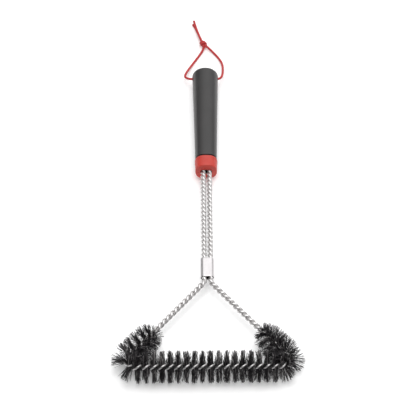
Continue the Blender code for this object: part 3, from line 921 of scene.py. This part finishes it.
def make_ferrule():
    half_width = (ferrule_high.x - ferrule_low.x) / 2
    half_height = (ferrule_high.z - ferrule_low.z) / 2
    front, back = ferrule_low.y, ferrule_high.y
    rows = [(front + along, inset) for along, inset in rounded(FERRULE_EDGE, EDGE_STEPS, True)]
    middle = np.linspace(front + FERRULE_EDGE, back - FERRULE_EDGE, FERRULE_RINGS)[1:-1]
    rows += [(y, 0.0) for y in middle]
    rows += [(back - along, inset) for along, inset in rounded(FERRULE_EDGE, EDGE_STEPS, False)]
    edge = FERRULE_INNER_EDGE
    rows += [(back, FERRULE_WALL - edge), (back - edge, FERRULE_WALL)]
    rows += [(front + edge, FERRULE_WALL), (front, FERRULE_WALL - edge)]
    sections = [(y, stadium(half_width - inset, half_height - inset)) for y, inset in rows]
    made = ring_solid("ferrule_sleeve", sections)
    finish_piece(made, POLISHED_STEEL, "brush", "polished_steel", "ferrule")


make_ferrule()

# ------------------------------------------------------------------ handle

FRONT_POWER = 2.5
BUTT_POWER = 2.05
GROOVE = 1.0 * MM  # between collar and grip, with the grip's neck at its foot
GRIP_FRONT = grip_low.y + GROOVE
GRIP_FRONT_HALF = 13.45 * MM
BUTT_HALF_WIDTH = 17.05 * MM
BUTT_HALF_HEIGHT = 16.4 * MM
FLARE_POWER = 1.1
BUTT_ROUNDING = 5.0 * MM
FRONT_ROUNDING = 0.4 * MM
SPIGOT_RADIUS = 9.5 * MM
SPIGOT_LENGTH = 10.0 * MM
BORE_RADIUS = 9.8 * MM
NECK_HALF = 12.2 * MM
NECK_GAP = 0.1 * MM
BORE_DEPTH = 14.0 * MM
HOLE_RADIUS = 2.2 * MM
COLLAR_FRONT = collar_low.y
COLLAR_BACK = COLLAR_FRONT + 16.0 * MM
COLLAR_FRONT_HALF = 13.3 * MM
COLLAR_WAIST_HALF = 13.65 * MM
COLLAR_LIP_HALF = 14.05 * MM
COLLAR_ROUNDING = 1.2 * MM
COLLAR_BACK_EDGE = 0.7 * MM
COLLAR_EDGE_STEPS = (7, 5)
COLLAR_RINGS = 30
# Shares of the collar's length: where its taper ends, where the lip begins, and how long it rises.
WAIST_AT = 0.70
LIP_FROM = 0.72
LIP_RISE = 0.16
SOCKET_HALF = (7.3 * MM, 3.8 * MM)
SOCKET_EDGE = 0.25 * MM
# The socket's thin black sleeve is painted shade: a dark sheet where only the deep shadow of the
# socket falls.
SOCKET_SHADE_WALL = 0.22 * MM
SOCKET_SHADE_GAP = 0.02 * MM
SOCKET_SHADE_INSET = 0.5 * MM
GRIP_EDGE_STEPS = (6, 16)
GRIP_RINGS = 60
CUTTER_SIDES = 48
CUTTER_HALF_LENGTH = 25.0 * MM


def grip_section(y, inset=0.0):
    share = (y - GRIP_FRONT) / (GRIP_END_Y - GRIP_FRONT)
    share = max(share, 0.0)
    flare = share**FLARE_POWER
    wide = GRIP_FRONT_HALF + (BUTT_HALF_WIDTH - GRIP_FRONT_HALF) * flare - inset
    high = GRIP_FRONT_HALF + (BUTT_HALF_HEIGHT - GRIP_FRONT_HALF) * flare - inset
    return superellipse(wide, high, FRONT_POWER + (BUTT_POWER - FRONT_POWER) * share)


def collar_section(y, inset=0.0):
    """Nearly straight from the front edge, with a low lip just before the grip."""
    share = (y - COLLAR_FRONT) / (COLLAR_BACK - COLLAR_FRONT)
    taper = min(share / WAIST_AT, 1.0)
    half = COLLAR_FRONT_HALF + (COLLAR_WAIST_HALF - COLLAR_FRONT_HALF) * taper
    lip = min(max((share - LIP_FROM) / LIP_RISE, 0.0), 1.0)
    half += (COLLAR_LIP_HALF - COLLAR_WAIST_HALF) * lip * lip * (3 - 2 * lip)
    return superellipse(half - inset, half - inset, FRONT_POWER)


def make_collar():
    body = (COLLAR_FRONT + COLLAR_ROUNDING, COLLAR_BACK - COLLAR_BACK_EDGE)
    front_edge = rounded(COLLAR_ROUNDING, COLLAR_EDGE_STEPS[0], True)
    back_edge = rounded(COLLAR_BACK_EDGE, COLLAR_EDGE_STEPS[1], False)
    rows = [(COLLAR_FRONT + along, inset) for along, inset in front_edge]
    rows += [(y, 0.0) for y in np.linspace(*body, COLLAR_RINGS)[1:-1]]
    rows += [(COLLAR_BACK - along, inset) for along, inset in back_edge]
    sections = [(y, collar_section(y, inset)) for y, inset in rows]
    spigot_end = COLLAR_BACK + SPIGOT_LENGTH
    spigot = superellipse(SPIGOT_RADIUS, SPIGOT_RADIUS, 2.0)
    sections += [(y, spigot) for y in (COLLAR_BACK, spigot_end)]
    sections += [(y, stadium(*SOCKET_HALF)) for y in (spigot_end, COLLAR_FRONT + SOCKET_EDGE)]
    wider = (SOCKET_HALF[0] + SOCKET_EDGE, SOCKET_HALF[1] + SOCKET_EDGE)
    sections.append((COLLAR_FRONT, stadium(*wider)))
    made = ring_solid("collar", sections)
    finish_piece(made, RED_PLASTIC, "brush", "red_plastic", "handle_collar")


def make_socket_shade():
    """A black sleeve inside the collar's socket, where the strands go in: painted shade, a dark
    sheet standing in for the deep shadow there.
    """
    front, back = COLLAR_FRONT + SOCKET_SHADE_INSET, COLLAR_BACK + SPIGOT_LENGTH - MM
    outside = (SOCKET_HALF[0] - SOCKET_SHADE_GAP, SOCKET_HALF[1] - SOCKET_SHADE_GAP)
    inside = (outside[0] - SOCKET_SHADE_WALL, outside[1] - SOCKET_SHADE_WALL)
    sections = [(front, stadium(*outside)), (back, stadium(*outside))]
    sections += [(back, stadium(*inside)), (front, stadium(*inside))]
    made = ring_solid("collar_socket_shade", sections)
    finish_piece(made, BLACK_PLASTIC, "brush", "black_plastic")


def hole_cutter():
    """A round bar across the handle, where the cord's hole goes."""
    first = np.arange(CUTTER_SIDES)
    angle = math.tau * first / CUTTER_SIDES
    y, z = HOLE_RADIUS * np.cos(angle), HOLE_RADIUS * np.sin(angle)
    ring = np.stack([np.zeros(CUTTER_SIDES), y, z], -1)
    ends = [(x, HOLE_Y, AXIS_Z) for x in (-CUTTER_HALF_LENGTH, CUTTER_HALF_LENGTH)]
    points = np.vstack([*(ring + end for end in ends), ends])
    count = 2 * CUTTER_SIDES
    caps = np.vstack([fan(count, first, True), fan(count + 1, first + CUTTER_SIDES)])
    return mesh_object("hole_cutter", points, ring_quads(2, CUTTER_SIDES), caps)


def make_grip():
    front_edge = rounded(FRONT_ROUNDING, GRIP_EDGE_STEPS[0], True)
    butt_edge = rounded(BUTT_ROUNDING, GRIP_EDGE_STEPS[1], False)
    body_end = GRIP_END_Y - BUTT_ROUNDING
    body = np.linspace(GRIP_FRONT + FRONT_ROUNDING, body_end, GRIP_RINGS)
    rows = [(GRIP_FRONT + along, inset) for along, inset in front_edge]
    rows += [(y, 0.0) for y in body[1:-1]]
    rows += [(GRIP_END_Y - along, inset) for along, inset in butt_edge]
    neck_front = COLLAR_BACK + NECK_GAP
    bore = superellipse(BORE_RADIUS, BORE_RADIUS, 2.0)
    neck = superellipse(NECK_HALF, NECK_HALF, FRONT_POWER)
    sections = [(y, bore) for y in (GRIP_FRONT + BORE_DEPTH, neck_front)]
    sections += [(y, neck) for y in (neck_front, GRIP_FRONT)]
    sections += [(y, grip_section(min(y, body_end), inset)) for y, inset in rows]
    made = ring_solid("grip", sections, sharp=50.0, closed_round=False)
    cutter = hole_cutter()
    drill = made.modifiers.new("cross_hole", "BOOLEAN")
    drill.operation = "DIFFERENCE"
    drill.solver = "EXACT"
    drill.object = cutter
    bpy.context.view_layer.update()
    graph = bpy.context.evaluated_depsgraph_get()
    drilled = bpy.data.meshes.new_from_object(made.evaluated_get(graph))
    made.modifiers.clear()
    made.data = drilled
    bpy.data.objects.remove(cutter)
    made.data.set_sharp_from_angle(angle=math.radians(35.0))
    finish_piece(made, BLACK_PLASTIC, "brush", "black_plastic", "handle_grip")


make_collar()
make_socket_shade()
make_grip()
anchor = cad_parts["wire_anchor_block"].data
anchor.materials.clear()
anchor.materials.append(BLACK_PLASTIC)

# ------------------------------------------------------- floor and lights

FLOOR_SIZE = 6.0
FLOOR_GLOW = 0.23


def make_floor():
    half = FLOOR_SIZE / 2
    corners = [(-half, -half, 0.0), (half, -half, 0.0), (half, half, 0.0), (-half, half, 0.0)]
    floor = mesh_object("floor", corners, [(0, 1, 2, 3)], smooth=False)
    s = Shader("white_floor")
    tone = s.noise(3.0, 2.0, 0.5)
    colour = s.ramp(tone, "Fac", [(0.3, (0.90, 0.90, 0.90)), (0.7, (0.92, 0.92, 0.92))])
    s.join(colour, "Color", s.surface, "Base Color")
    s.set(Roughness=0.9, Specular_IOR_Level=0.1)
    s.set(Emission_Color=(1.0, 1.0, 1.0, 1.0), Emission_Strength=FLOOR_GLOW)
    floor.data.materials.append(s.material)


def area_light(name, place, size, power):
    """A square lamp that points at the middle of the table."""
    data = bpy.data.lights.new(name, "AREA")
    data.shape = "SQUARE"
    data.size = size
    data.energy = power
    light = bpy.data.objects.new(name, data)
    bpy.context.scene.collection.objects.link(light)
    light.location = place
    light.rotation_euler = (-Vector(place)).to_track_quat("-Z", "Y").to_euler()


KEY_PLACE = (-0.05, -0.10, 2.0)
KEY_SIZE = 1.3
KEY_POWER = 21.0
SKY_CENTRE = (0.25, 0.50, 0.83)
SKY_STOPS = [(0.30, 0.42), (0.50, 0.15), (0.62, 0.15), (0.80, 0.50), (0.92, 1.0), (0.985, 1.5)]


def make_light():
    """A soft tent that is brightest overhead and behind, and one large lamp high above."""
    area_light("key", KEY_PLACE, KEY_SIZE, KEY_POWER)
    world = bpy.data.worlds.new("studio")
    world.use_nodes = True
    tree = world.node_tree
    background = tree.nodes["Background"]
    where = tree.nodes.new("ShaderNodeTexCoord")
    towards = tree.nodes.new("ShaderNodeVectorMath")
    towards.operation = "DOT_PRODUCT"
    towards.inputs[1].default_value = SKY_CENTRE
    spread = tree.nodes.new("ShaderNodeMapRange")
    spread.inputs["From Min"].default_value = -1.0
    ramp = tree.nodes.new("ShaderNodeValToRGB")
    elements = ramp.color_ramp.elements
    while len(elements) < len(SKY_STOPS):
        elements.new(0.5)
    for element, (height, level) in zip(elements, SKY_STOPS):
        element.position = height
        element.color = (level, level, level, 1.0)
    tree.links.new(where.outputs["Generated"], towards.inputs[0])
    tree.links.new(towards.outputs["Value"], spread.inputs["Value"])
    tree.links.new(spread.outputs["Result"], ramp.inputs["Fac"])
    tree.links.new(ramp.outputs["Color"], background.inputs["Color"])
    bpy.context.scene.world = world


make_floor()
make_light()
bpy.context.scene.view_settings.view_transform = "Standard"
